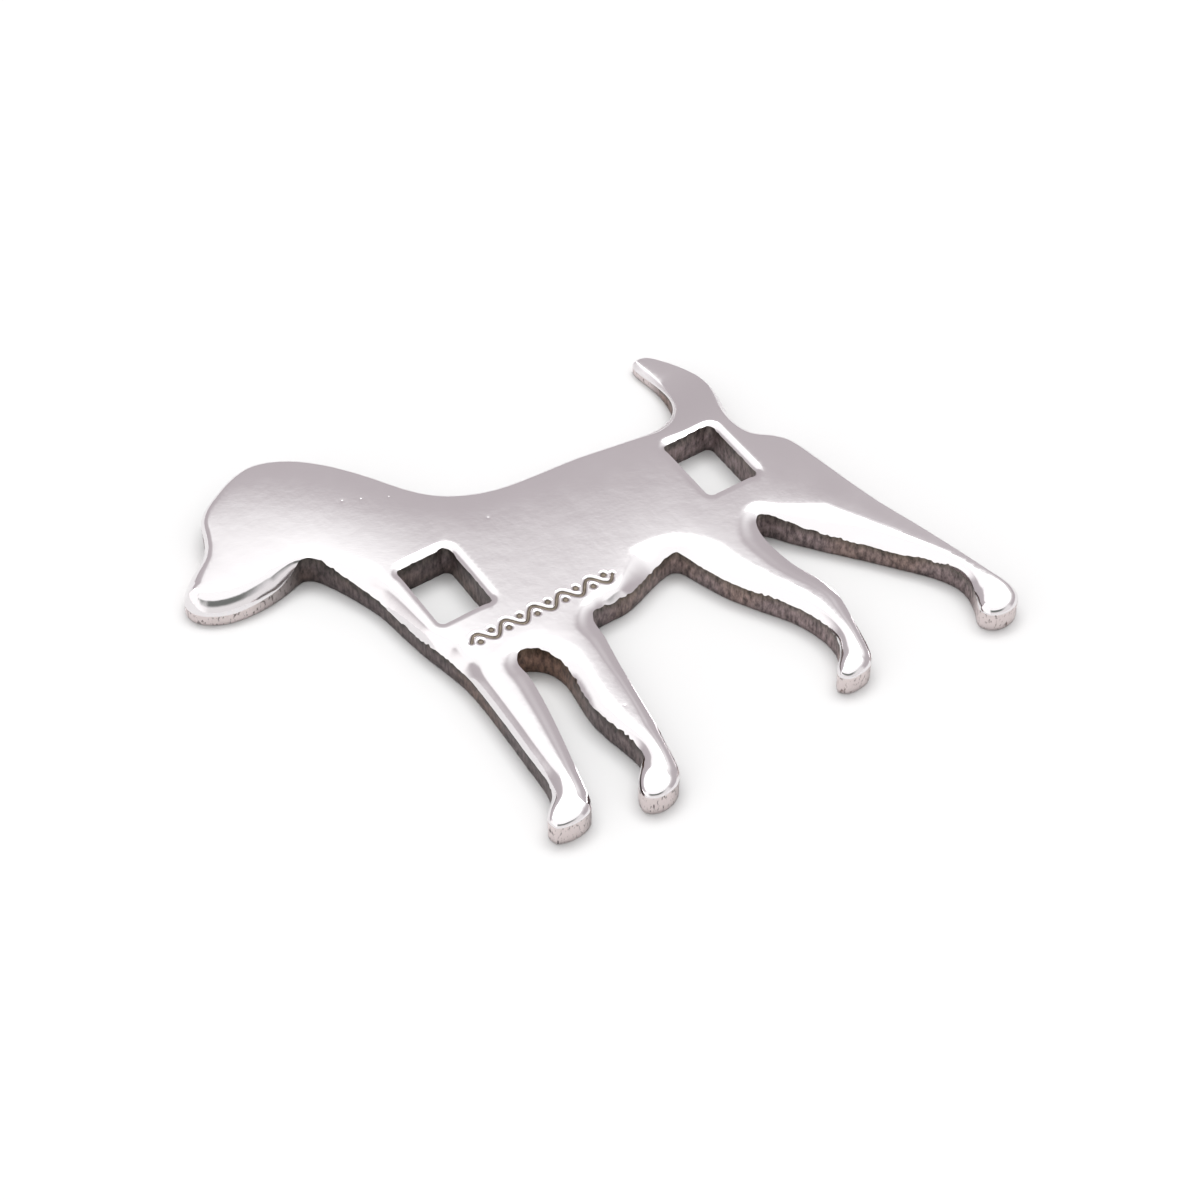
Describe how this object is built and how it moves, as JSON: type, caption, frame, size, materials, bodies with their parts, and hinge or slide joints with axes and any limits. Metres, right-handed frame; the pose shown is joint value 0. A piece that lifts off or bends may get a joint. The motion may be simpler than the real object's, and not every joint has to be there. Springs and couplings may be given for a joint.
{
  "type": "dog pendant",
  "caption": "Flat dog-shaped steel pendant in side view, with rolled polished edges, slots for a flat strap and an engraved wave border.",
  "frame": {"origin": "middle of the plate's overall length and height, on its flat back face", "axes": "+X along the body from the nose to the tail, +Y up the dog from the paws to the back, +Z out of the polished front face"},
  "size_m": [0.044, 0.037, 0.0025],
  "materials": {
    "polished_steel": "front polished with rolled edges, cut walls left striated, back satin"
  },
  "bodies": {
    "root": {"dog_plate": "polished_steel"}
  },
  "joints": []
}
